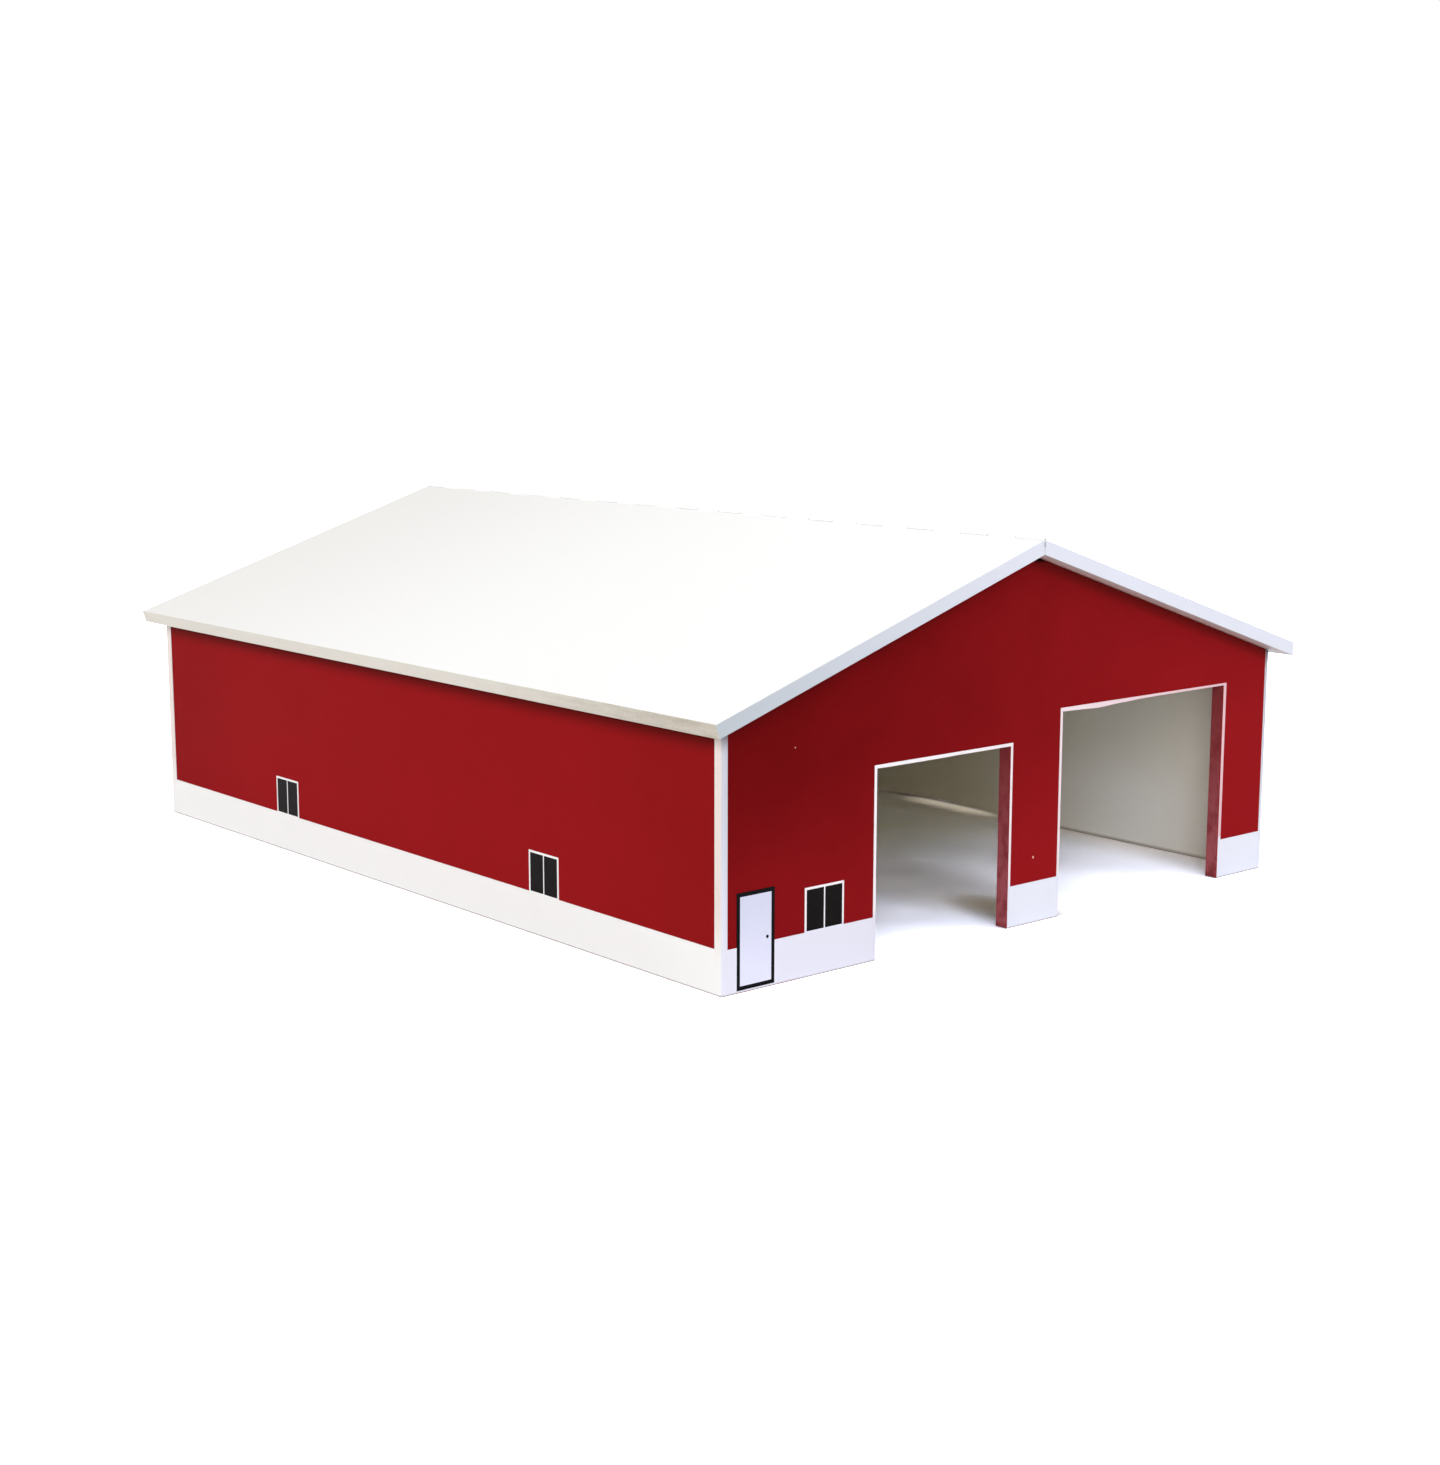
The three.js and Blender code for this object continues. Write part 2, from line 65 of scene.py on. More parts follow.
class Paint:
    """One material: a Principled shader, with short calls for the nodes that feed it."""

    def __init__(self, name, **constants):
        self.material = bpy.data.materials.new(name)
        self.material.use_nodes = True
        self.tree = self.material.node_tree
        self.tree.nodes.clear()
        output = self.tree.nodes.new("ShaderNodeOutputMaterial")
        self.shader = self.tree.nodes.new("ShaderNodeBsdfPrincipled")
        self.tree.links.new(self.shader.outputs[0], output.inputs[0])
        self.place = self.tree.nodes.new("ShaderNodeTexCoord")
        for socket, value in constants.items():
            self.shader.inputs[socket.replace("_", " ")].default_value = value

    def feed(self, socket, value):
        """Links another node's output to a socket, or sets a plain value on it."""
        if isinstance(value, bpy.types.NodeSocket):
            self.tree.links.new(value, socket)
        else:
            socket.default_value = value

    def put(self, socket, value):
        """Feeds a socket of the shader itself."""
        self.feed(self.shader.inputs[socket], value)

    def math(self, operation, *values, clamp=False):
        node = self.tree.nodes.new("ShaderNodeMath")
        node.operation = operation
        node.use_clamp = clamp
        for socket, value in zip(node.inputs, values):
            self.feed(socket, value)
        return node.outputs[0]

    def weigh(self, a, share_a, b, share_b):
        """The sum of two values, each times its share."""
        return self.math("MULTIPLY_ADD", a, share_a, self.math("MULTIPLY", b, share_b))

    def along(self, direction, of="Object"):
        """How far the point, or with of="Normal" the face's normal, goes along a direction."""
        node = self.tree.nodes.new("ShaderNodeVectorMath")
        node.operation = "DOT_PRODUCT"
        self.feed(node.inputs[0], self.place.outputs[of])
        self.feed(node.inputs[1], tuple(direction))
        return node.outputs["Value"]

    def facing(self, direction):
        """1 on faces that look along a direction, else 0."""
        return self.math("GREATER_THAN", self.along(direction, "Normal"), FACING)

    def facing_either(self, direction):
        """1 on faces that look along a direction or against it, else 0."""
        return self.math("GREATER_THAN", self.math("ABSOLUTE", self.along(direction, "Normal")), FACING)

    def step(self, value, start, end):
        """A smooth 0 to 1 as a value goes from start to end."""
        node = self.tree.nodes.new("ShaderNodeMapRange")
        node.interpolation_type = "SMOOTHSTEP"
        for socket, number in zip(node.inputs, (value, start, end, 0, 1)):
            self.feed(socket, number)
        return node.outputs[0]

    def fade(self, direction, ends):
        """A smooth 0 to 1 between two places along a direction, given in millimetres."""
        start, end = ends
        return self.step(self.along(direction), start * MM, end * MM)

    def noise(self, size, detail=2.0, roughness=0.5, stretch=(1, 1, 1), shift=0.0):
        """Noise from 0 to 1 with features about `size` mm across, longer along an axis by stretch."""
        mapping = self.tree.nodes.new("ShaderNodeMapping")
        self.feed(mapping.inputs["Vector"], self.place.outputs["Object"])
        mapping.inputs["Location"].default_value = (shift, shift, shift)
        mapping.inputs["Scale"].default_value = tuple(1 / (size * MM * s) for s in stretch)
        node = self.tree.nodes.new("ShaderNodeTexNoise")
        self.feed(node.inputs["Vector"], mapping.outputs[0])
        node.inputs["Scale"].default_value = 1
        node.inputs["Detail"].default_value = detail
        node.inputs["Roughness"].default_value = roughness
        return node.outputs["Fac"]

    def blob(self, across, up, shape):
        """A soft ellipse, 1 in its middle and 0 outside: its middle and half sizes in millimetres."""
        x, y, half_x, half_y = shape
        off_x = self.math("DIVIDE", self.math("SUBTRACT", self.along(across), x * MM), half_x * MM)
        off_y = self.math("DIVIDE", self.math("SUBTRACT", self.along(up), y * MM), half_y * MM)
        off = self.math("ADD", self.math("MULTIPLY", off_x, off_x), self.math("MULTIPLY", off_y, off_y))
        return self.step(off, 1, 0)

    def mix(self, factor, a, b, blend="MIX"):
        """Colour a where the factor is 0, and where it is 1 colour b, or both as the blend says."""
        node = self.tree.nodes.new("ShaderNodeMix")
        node.data_type = "RGBA"
        node.blend_type = blend
        self.feed(node.inputs[0], factor)
        self.feed(node.inputs[6], a)
        self.feed(node.inputs[7], b)
        return node.outputs[2]

    def bump(self, height, depth, before=None):
        """A normal for relief of a depth in millimetres, over another normal where one is given."""
        node = self.tree.nodes.new("ShaderNodeBump")
        node.inputs["Distance"].default_value = depth * MM
        self.feed(node.inputs["Height"], height)
        if before is not None:
            self.feed(node.inputs["Normal"], before)
        return node.outputs[0]


# Shed colours, as seen on white paper in even light, except where noted below as painted light and shade
RED = srgb(150, 24, 28)
RED_DARK = srgb(139, 21, 24)
# Painted shade: the front gable's red, dark toward its left and lit toward its right
GABLE_RED_LEFT_PAINTED_SHADE = srgb(106, 12, 15)
GABLE_RED_RIGHT = srgb(151, 24, 29)
EAVE_SHADE = srgb(50, 18, 12)
# Painted shadow for the dark corner at the gable's peak
PEAK_PAINTED_SHADOW = srgb(14, 4, 4)
# Painted light and shade on the sawn jambs: dark at the top, paler toward the foot
JAMB_TOP = srgb(146, 63, 66)
JAMB_FOOT = srgb(185, 99, 107)
JAMB_DARK = srgb(128, 46, 50)
# Painted shade on the undersides of the doorway heads
HEAD_UNDERSIDE_PAINTED_SHADE = srgb(96, 34, 36)
INSIDE = srgb(254, 252, 248)
INSIDE_DARK = srgb(252, 249, 242)
# Painted shade on the inside: creamier upward, deep in the back, and toward the front
INSIDE_HIGH = srgb(241, 236, 223)
INSIDE_DEEP = srgb(239, 227, 196)
INSIDE_FRONT = srgb(234, 225, 212)
# Painted shade line along the inside foot
INSIDE_FOOT = srgb(150, 134, 118)
# Grey of the walls' bare foot, partly painted shade along the ground
FOOT = srgb(176, 168, 164)
FOOT_RED = srgb(176, 134, 132)
CHIP = srgb(226, 176, 160)
ROOF = srgb(254, 254, 253)
ROOF_SHADE = srgb(252, 252, 251)
# Painted shade toward the roof's back
ROOF_BACK_PAINTED_SHADE = srgb(245, 243, 240)
# Painted shade on the rakes' left, painted light to the right
RAKE_LEFT_PAINTED_SHADE = srgb(182, 190, 197)
RAKE_RIGHT = srgb(227, 229, 241)
# Painted shade at the overhangs' edges and eaves, and a painted reflection of the red gable
SOFFIT_EDGE_PAINTED_SHADE = srgb(197, 190, 187)
SOFFIT_PAINTED_RED_REFLECTION = srgb(210, 170, 162)
SOFFIT_EAVE_PAINTED_SHADE = srgb(186, 181, 179)
SOFFIT_INSIDE = srgb(246, 244, 238)
ROOF_SAWN = srgb(206, 200, 187)
ROOF_SAWN_DARK = srgb(176, 168, 153)
# Painted light on the sawn eaves toward the back
ROOF_SAWN_FAR = srgb(228, 225, 216)
FILM = srgb(245, 245, 244)
FILM_SHADE = srgb(240, 240, 238)
# Painted cool light on the gables' white film, lighter to the right
FILM_COOL_LEFT = srgb(231, 231, 245)
FILM_COOL_RIGHT = srgb(236, 239, 252)
BAND_LEFT = srgb(248, 244, 248)
BAND_RIGHT = srgb(235, 196, 203)
# Painted shade on the corner strips, darker upward
CORNER_SIDE_PAINTED_SHADE = srgb(230, 219, 213)
CORNER_GABLE_PAINTED_SHADE = srgb(206, 208, 220)
GABLE_TOP_SHADE = srgb(108, 98, 101)
SIDE_TOP_SHADE = srgb(184, 176, 166)
LEAF_FILM = srgb(231, 233, 254)
# Painted shade on the door leaf's upper part
LEAF_FILM_SHADE = srgb(211, 214, 236)
BLACK_FILM = srgb(20, 19, 21)
BLACK_FILM_SHADE = srgb(14, 13, 15)
PANE = srgb(15, 13, 13)
PANE_LIGHT = srgb(24, 20, 20)
BOARD = srgb(196, 168, 126)
BOARD_DARK = srgb(168, 138, 98)
STEEL = srgb(176, 178, 184)
STEEL_DARK = srgb(120, 122, 128)
HINGE_END = srgb(176, 175, 178)

# Below, a shade has the places in millimetres between which it grows, along X, Y or Z as its name ends,
# and a strength from 0 to 1 where it isn't full.

# The walls' tops follow this line under the roof
ROOF_SLOPE = 50 / 152.5
RIDGE_SEAT = 145 * MM
# The red carries painted light and shade: it is lighter toward the ground as painted light, darker at both
# ends of the left wall as painted shade, and lighter to the right on the front gable, where painted shade
# darkens its left
LOW_LIGHT_Z = (85, 20)
LOW_LIGHT_STRENGTH = 0.3
LEFT_WALL_FRONT_Y = (-110, -210)
LEFT_WALL_BACK_Y = (120, 200)
LEFT_WALL_ENDS_STRENGTH = 0.7
GABLE_RED_X = (-205, 195)
# Depth and strength of the shade on the walls just under the roof
GABLE_SHADE = (7 * MM, 0.6)
SIDE_SHADE = (12 * MM, 1.0)
# Painted shadow in the dark corner at the top of the gable: x, z and half sizes in millimetres
PEAK_SHADOW_SPOT = (6.2, 142.9, 5.5, 2.2)
# Bare specks in the red paint of the gable: x, z and radius in millimetres
CHIPS = [(6.2, 26.4, 0.6), (-118.9, 84.1, 0.3)]
# A chip is this much of its blob, with a hard edge
CHIP_EDGE = 0.25

# Sawn faces of the doorways, paler toward the ground as painted light and dark right at it as painted shade,
# and the height of the walls' bare foot, its grey partly painted shade
JAMB_Z = (78, 8)
JAMB_FOOT_Z = (3, 0.5)
JAMB_FOOT_STRENGTH = 0.6
BARE_FOOT = 0.36 * MM
# Inside of the walls, with painted shade: creamier upward and backward, darker toward the front, and a line
# along the foot
INSIDE_HIGH_Z = (20, 52)
INSIDE_DEEP_Y = (-135, -20)
INSIDE_FRONT_Y = (-140, -196)
INSIDE_FOOT_Z = (2, 0.4)
INSIDE_FOOT_Y = (-50, -80)
INSIDE_FOOT_STRENGTH = 0.7


def outside_red(p, outward, cloud, chips):
    """Red paint, lighter toward the ground as painted light, darker under the roof and at the left wall's
    ends as painted shade, and on the front gable darker to the left and at its peak as painted shade.
    """
    uneven = p.weigh(p.noise(0.55, roughness=0.6), 0.35, cloud, 0.65)
    # Painted light: the red grows lighter toward the ground
    painted_low_light = p.math("MULTIPLY", p.fade(UP, LOW_LIGHT_Z), LOW_LIGHT_STRENGTH)
    uneven = p.math("ADD", uneven, painted_low_light, clamp=True)
    # Painted shade: the front gable's red darkens toward its left
    if outward == FRONT:
        across = p.math("ADD", p.fade(RIGHT, GABLE_RED_X), painted_low_light)
        uneven = p.math("MULTIPLY_ADD", p.math("SUBTRACT", uneven, 0.5), 0.5, across, clamp=True)
        red = p.mix(uneven, GABLE_RED_LEFT_PAINTED_SHADE, GABLE_RED_RIGHT)
    else:
        # Painted shade: the left wall's red darkens at both ends
        if outward == LEFT:
            ends = p.math("ADD", p.fade(BACK, LEFT_WALL_FRONT_Y), p.fade(BACK, LEFT_WALL_BACK_Y))
            uneven = p.math("SUBTRACT", uneven, p.math("MULTIPLY", ends, LEFT_WALL_ENDS_STRENGTH), clamp=True)
        red = p.mix(uneven, RED_DARK, RED)
    for x, z, radius in chips:
        chip = p.math("GREATER_THAN", p.blob(RIGHT, UP, (x, z, radius, radius)), CHIP_EDGE)
        red = p.mix(chip, red, CHIP)
    seat = p.math("MULTIPLY_ADD", p.math("ABSOLUTE", p.along(RIGHT)), -ROOF_SLOPE, RIDGE_SEAT)
    depth, strength = GABLE_SHADE if outward in (FRONT, BACK) else SIDE_SHADE
    under_roof = p.step(p.math("SUBTRACT", seat, p.along(UP)), depth, 0)
    red = p.mix(p.math("MULTIPLY", under_roof, strength), red, EAVE_SHADE)
    if outward == FRONT:
        # Painted shadow in the dark corner at the gable's peak
        red = p.mix(p.blob(RIGHT, UP, PEAK_SHADOW_SPOT), red, PEAK_PAINTED_SHADOW)
    return red


def sawn_red(p, fuzz):
    """Dull red on sawn fibreboard, paler toward the ground as painted light and dark right at it as painted
    shade, with painted shade on the heads' undersides.
    """
    layers = p.noise(3, stretch=(4, 4, 1), shift=3.0)
    mottle = p.step(p.noise(4, detail=3, roughness=0.6, stretch=(1, 1, 1.6), shift=9.0), 0.3, 0.6)
    rough = p.math("MULTIPLY_ADD", mottle, 0.5, p.weigh(fuzz, 0.3, layers, 0.2))
    # Painted light: paler toward the ground
    sawn = p.mix(rough, JAMB_DARK, p.mix(p.fade(UP, JAMB_Z), JAMB_TOP, JAMB_FOOT))
    # Painted shade right at the ground
    sawn = p.mix(p.math("MULTIPLY", p.fade(UP, JAMB_FOOT_Z), JAMB_FOOT_STRENGTH), sawn, JAMB_DARK)
    # Painted shade on the heads' undersides
    return p.mix(p.facing(-UP), sawn, HEAD_UNDERSIDE_PAINTED_SHADE)


def inside_white(p):
    """Off-white paint, creamier upward and backward and darker toward the front as painted shade, with a
    painted shade line along its foot near the front.
    """
    plaster = p.noise(14, detail=3, roughness=0.6, stretch=(1, 1, 2.5), shift=7.0)
    inside = p.mix(plaster, INSIDE_DARK, INSIDE)
    # Painted shade: creamier upward, backward and toward the front
    inside = p.mix(p.fade(UP, INSIDE_HIGH_Z), inside, INSIDE_HIGH)
    inside = p.mix(p.fade(BACK, INSIDE_DEEP_Y), inside, INSIDE_DEEP)
    inside = p.mix(p.fade(BACK, INSIDE_FRONT_Y), inside, INSIDE_FRONT)
    # Painted shade line along the foot near the front
    painted_foot_shade = p.math("MULTIPLY", p.fade(UP, INSIDE_FOOT_Z), INSIDE_FOOT_STRENGTH)
    painted_foot_shade = p.math("MULTIPLY", painted_foot_shade, p.fade(BACK, INSIDE_FOOT_Y))
    return p.mix(painted_foot_shade, inside, INSIDE_FOOT)


def wall_paint(name, outward, chips=()):
    """Painted board: red outside, off-white inside, dull red on the sawn faces of the openings."""
    p = Paint(name, Specular_IOR_Level=0.004)
    outer = p.facing(outward)
    inner = p.facing(-outward)
    not_outer = p.math("SUBTRACT", 1, outer)
    cloud = p.noise(26, detail=3, roughness=0.55)
    fuzz = p.noise(0.5, detail=3, roughness=0.7)
    colour = p.mix(outer, sawn_red(p, fuzz), outside_red(p, outward, cloud, chips))
    colour = p.mix(inner, colour, inside_white(p))
    blotch = p.step(p.noise(9, roughness=0.6, shift=11.0), 0.5, 0.62)
    # The bare board along the ground, its grey partly painted shade
    at_foot = p.math("LESS_THAN", p.along(UP), BARE_FOOT)
    bare = p.math("MULTIPLY", at_foot, p.math("SUBTRACT", 1, inner))
    p.put("Base Color", p.mix(bare, colour, p.mix(blotch, FOOT, FOOT_RED)))
    p.put("Roughness", p.math("MULTIPLY_ADD", not_outer, 0.3, p.math("MULTIPLY_ADD", cloud, 0.12, 0.36)))
    peel = p.bump(p.noise(1.3, shift=5.0), 0.03)
    p.put("Normal", p.bump(p.math("MULTIPLY", fuzz, not_outer), 0.12, peel))
    return p.material


# The roof is darker toward its back as painted shade, its sawn eaves are lighter there as painted light, and
# its rakes are lighter to the right as painted light and darker to the left as painted shade
ROOF_BACK_Y = (-70, 215)
ROOF_SAWN_FAR_Y = (-215, -50)
ROOF_SAWN_FAR_STRENGTH = 0.8
RAKE_X = (-215, 45)
# Painted shade under the overhangs, with a painted reflection of the red gable near it: how far past the
# walls' outer faces it begins and ends
SOFFIT_PAST_GABLE = (7 * MM, 0)
SOFFIT_PAST_SIDE = (-9 * MM, -3 * MM)


def roof_paint(name):
    """White painted board, smooth above and on the rakes, rough and creamy on the sawn eave."""
    p = Paint(name, Specular_IOR_Level=0.1)
    under = p.facing(-UP)
    rake = p.facing_either(BACK)
    paint_on = p.math("MAXIMUM", p.math("MAXIMUM", p.facing(UP), under), rake)
    sawn = p.math("SUBTRACT", 1, paint_on)
    cloud = p.noise(32, detail=3)
    white = p.mix(cloud, ROOF_SHADE, ROOF)
    # Painted shade: darker toward the back
    white = p.mix(p.fade(BACK, ROOF_BACK_Y), white, ROOF_BACK_PAINTED_SHADE)
    fuzz = p.noise(0.6, detail=3, roughness=0.7, shift=2.0)
    streak = p.noise(1.6, roughness=0.6, stretch=(1, 9, 1), shift=4.0)
    cream = p.mix(p.step(p.weigh(fuzz, 0.55, streak, 0.45), 0.3, 0.66), ROOF_SAWN_DARK, ROOF_SAWN)
    # Painted light: the sawn eaves lighter toward the back
    painted_light_far = p.math("MULTIPLY", p.fade(BACK, ROOF_SAWN_FAR_Y), ROOF_SAWN_FAR_STRENGTH)
    cream = p.mix(painted_light_far, cream, ROOF_SAWN_FAR)
    low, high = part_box("right_wall")
    off_middle = p.math("ABSOLUTE", p.math("SUBTRACT", p.along(BACK), (low[1] + high[1]) / 2))
    past_gable = p.math("SUBTRACT", off_middle, (high[1] - low[1]) / 2)
    past_side = p.math("SUBTRACT", p.math("ABSOLUTE", p.along(RIGHT)), high[0])
    # Painted shade at the overhang's edge, a painted red reflection next to the gable
    soffit = p.mix(p.step(past_gable, *SOFFIT_PAST_GABLE), SOFFIT_EDGE_PAINTED_SHADE, SOFFIT_PAINTED_RED_REFLECTION)
    soffit = p.mix(p.math("LESS_THAN", past_gable, 0), soffit, SOFFIT_INSIDE)
    # Painted shade under the side eaves
    soffit = p.mix(p.step(past_side, *SOFFIT_PAST_SIDE), soffit, SOFFIT_EAVE_PAINTED_SHADE)
    white = p.mix(under, white, soffit)
    # Painted light and shade: the rakes darker to the left, lighter to the right
    white = p.mix(rake, white, p.mix(p.fade(RIGHT, RAKE_X), RAKE_LEFT_PAINTED_SHADE, RAKE_RIGHT))
    p.put("Base Color", p.mix(sawn, white, cream))
    p.put("Roughness", p.math("MULTIPLY_ADD", sawn, 0.4, p.math("MULTIPLY_ADD", cloud, 0.1, 0.42)))
    peel = p.bump(p.noise(1.1, shift=5.0), 0.025)
    p.put("Normal", p.bump(p.math("MULTIPLY", fuzz, sawn), 0.2, peel))
    return p.material


def film(name, light, dark, roughness, spread=22, painted_shade_up_to=None):
    """Printed or cut film, laid on the paint below, with faint unevenness, and painted shade that darkens it
    up to a height.
    """
    p = Paint(name, Specular_IOR_Level=0.02)
    cloud = p.noise(spread, detail=3)
    even = cloud
    if painted_shade_up_to is not None:
        # Painted shade: darker upward to the given height
        even = p.math("MULTIPLY_ADD", cloud, 0.3, p.fade(UP, (painted_shade_up_to, 0)), clamp=True)
    p.put("Base Color", p.mix(even, dark, light))
    p.put("Roughness", p.math("MULTIPLY_ADD", cloud, 0.1, roughness))
    p.put("Normal", p.bump(p.noise(1.3), 0.02))
    return p.material


# White film on the gable, cool and lighter to the right as painted light, the bands round its doorways that
# begin above the wainscot, the corner strips and their painted shade, and the painted shade at the foot of
# all of it
FILM_COOL_X = (-90, 0)
BAND_X = (-60, 140)
BAND_Z = (17, 19)
CORNER_WARM_Z = (8, 32)
CORNER_COOL_Z = (0, 75)
CORNER_TOP_Z = (85, 95)
FILM_FOOT_Z = (0.9, 0.4)
FILM_FOOT_STRENGTH = 0.5


def white_film(name, corner=False):
    """White trim, with painted light: warm along the sides, cool on the gables, and painted shade grey at its
    foot. Narrow bands show some red through, and corner strips take painted shade that darkens them upward
    and under the roof."""
    p = Paint(name, Specular_IOR_Level=0.06)
    cloud = p.noise(22, detail=3)
    # Painted light: warm on the sides, cool on the gables
    gable = p.step(p.math("ABSOLUTE", p.along(BACK, "Normal")), 0.3, 0.8)
    warm = p.mix(cloud, FILM_SHADE, FILM)
    cool = p.mix(p.fade(RIGHT, FILM_COOL_X), FILM_COOL_LEFT, FILM_COOL_RIGHT)
    if corner:
        # Painted shade on the corner strips, darker upward
        warm = p.mix(p.fade(UP, CORNER_WARM_Z), warm, CORNER_SIDE_PAINTED_SHADE)
        cool = p.mix(p.fade(UP, CORNER_COOL_Z), cool, CORNER_GABLE_PAINTED_SHADE)
    else:
        band = p.mix(p.fade(RIGHT, BAND_X), BAND_LEFT, BAND_RIGHT)
        cool = p.mix(p.fade(UP, BAND_Z), cool, band)
    colour = p.mix(gable, warm, cool)
    if corner:
        # Painted shade under the roof on the corner strips
        shade = p.mix(gable, SIDE_TOP_SHADE, GABLE_TOP_SHADE)
        colour = p.mix(p.fade(UP, CORNER_TOP_Z), colour, shade)
    # Painted shade at the film's foot along the ground
    colour = p.mix(p.math("MULTIPLY", p.fade(UP, FILM_FOOT_Z), FILM_FOOT_STRENGTH), colour, FOOT)
    p.put("Base Color", colour)
    p.put("Roughness", p.math("MULTIPLY_ADD", cloud, 0.1, 0.4))
    p.put("Normal", p.bump(p.noise(1.3), 0.02))
    return p.material


def wood(name):
    """Bare softwood, with its grain upright."""
    p = Paint(name, Specular_IOR_Level=0.3, Roughness=0.78)
    grain = p.noise(1.2, detail=4, roughness=0.6, stretch=(1, 1, 14))
    p.put("Base Color", p.mix(grain, BOARD_DARK, BOARD))
    p.put("Normal", p.bump(grain, 0.06))
    return p.material


# The hinge's white paint thins out over these heights, and only splashes of it lie below
HINGE_BARE_Z = (150.2, 149.6)


def hinge_steel(name):
    """Plated steel, over-painted white along its top, with paint splashes down its leaves."""
    p = Paint(name)
    scuff = p.noise(1.4, detail=3, roughness=0.6)
    bare = p.math("MULTIPLY", p.step(scuff, 0.36, 0.42), p.fade(UP, HINGE_BARE_Z))
    painted = p.mix(p.facing_either(BACK), ROOF, HINGE_END)
    p.put("Base Color", p.mix(bare, painted, p.mix(scuff, STEEL_DARK, STEEL)))
    p.put("Metallic", p.math("MULTIPLY", bare, 0.85))
    p.put("Roughness", p.math("MULTIPLY_ADD", scuff, 0.2, 0.36))
    return p.material


finishes = {
    "front_wall": wall_paint("board_red_front", FRONT, CHIPS),
    "back_wall": wall_paint("board_red_back", BACK),
    "left_wall": wall_paint("board_red_left", LEFT),
    "right_wall": wall_paint("board_red_right", RIGHT),
    "roof_board": roof_paint("board_white_roof"),
    "block": wood("glue_block_wood"),
    "hinge": hinge_steel("hinge_plated_steel"),
    "door_frame": film("door_film_black", BLACK_FILM, BLACK_FILM_SHADE, 0.42),
    "door_knob": film("knob_film_black", BLACK_FILM, BLACK_FILM_SHADE, 0.42),
    "door_leaf": film("door_film_pale", LEAF_FILM, LEAF_FILM_SHADE, 0.4, painted_shade_up_to=36),
    "pane": film("window_film_dark", PANE_LIGHT, PANE, 0.3, spread=9),
    "corner_strip": white_film("corner_film_white", corner=True),
    "trim": white_film("trim_film_white"),
}


def finish_of(name):
    for part in ("door_leaf", "door_frame", "door_knob", "pane", "roof_board", "block", "corner_strip"):
        if part in name:
            return finishes[part]
    if name in finishes:
        return finishes[name]
    if "hinge" in name or "brad" in name:
        return finishes["hinge"]
    return finishes["trim"]


# Board edges are eased a little, so that they catch the light: by the ending of the node's name
EASED = {"roof_board": 0.45 * MM, "wall": 0.25 * MM}
# Corners closer than this become one, and edges bent by more than this angle are eased
SAME_CORNER = 0.01 * MM
EASED_ANGLE = 0.6


def ease_edges(thing, width):
    weld = thing.modifiers.new("join_corners", "WELD")
    weld.merge_threshold = SAME_CORNER
    bevel = thing.modifiers.new("eased_edges", "BEVEL")
    bevel.width = width
    bevel.segments = 2
    bevel.limit_method = "ANGLE"
    bevel.angle_limit = EASED_ANGLE
    bevel.harden_normals = False


for name, thing in nodes.items():
    for slot in thing.material_slots:
        slot.material = finish_of(name)
    for ending, width in EASED.items():
        if name.endswith(ending):
            ease_edges(thing, width)


# The film's uneven lower edge over each doorway: the doorway's left, right and top, and the edge's foot as
# pairs of share of the width and depth, all in millimetres
HEAD_EDGES = {
    "small": (-79.0, -8.25, 71.9, [(0, 0.06), (0.1, 0.15), (0.48, 0.13), (0.6, 0.02), (1, 0.02)]),
    "large": (21.3, 121.75, 82.8, [(0, 0.6), (0.09, 0.8), (0.2, 1.2), (0.35, 0.6), (0.5, 0.15), (0.75, 0.02),
                                   (1, 0.02)]),
}
HEAD_EDGE_STEPS = 24
FILM_THICKNESS = 0.15 * MM


def depth_at(foot, share):
    """The depth of a film edge at a share of its width, eased from one listed place to the next."""
    after = next(i for i, (place, _) in enumerate(foot) if place >= share)
    (s0, d0), (s1, d1) = foot[max(after - 1, 0)], foot[after]
    t = 0 if s1 == s0 else (share - s0) / (s1 - s0)
    return d0 + (d1 - d0) * t * t * (3 - 2 * t)


def head_edge(name, left, right, top, foot):
    """A strip of film that hangs from the band's lower edge, on the wall's outer face."""
    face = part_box("front_trim")[0].y
    points, faces = [], []
    for step in range(HEAD_EDGE_STEPS + 1):
        x = (left + (right - left) * step / HEAD_EDGE_STEPS) * MM
        low = (top - depth_at(foot, step / HEAD_EDGE_STEPS)) * MM
        for y in (face, face + FILM_THICKNESS):
            points += [(x, y, top * MM), (x, y, low)]
    for a in range(0, HEAD_EDGE_STEPS * 4, 4):
        b = a + 4
        faces += [
            (a, a + 1, b + 1, b),
            (a + 2, b + 2, b + 3, a + 3),
            (a + 1, a + 3, b + 3, b + 1),
            (a, b, b + 2, a + 2),
        ]
    last = HEAD_EDGE_STEPS * 4
    faces += [(0, 2, 3, 1), (last, last + 1, last + 3, last + 2)]
    mesh = bpy.data.meshes.new(name)
    mesh.from_pydata(points, [], faces)
    mesh.materials.append(finishes["trim"])
    piece = add(name, mesh)
    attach(piece, "shed")


for doorway, (left, right, top, foot) in HEAD_EDGES.items():
    head_edge(f"{doorway}_doorway_film_edge", left, right, top, foot)


# Floor and backdrop: half the floor's side, and the distance from the shed at which it is plain white
FLOOR_HALF = 12.0
FLOOR_WHITE_AT = 0.28
FLOOR = (0.9, 0.9, 0.91, 1)
# The floor as it is seen. Colours past 1 make up for the shade inside the shed.
FLOOR_SEEN = (2.1, 2.19, 2.6, 1)
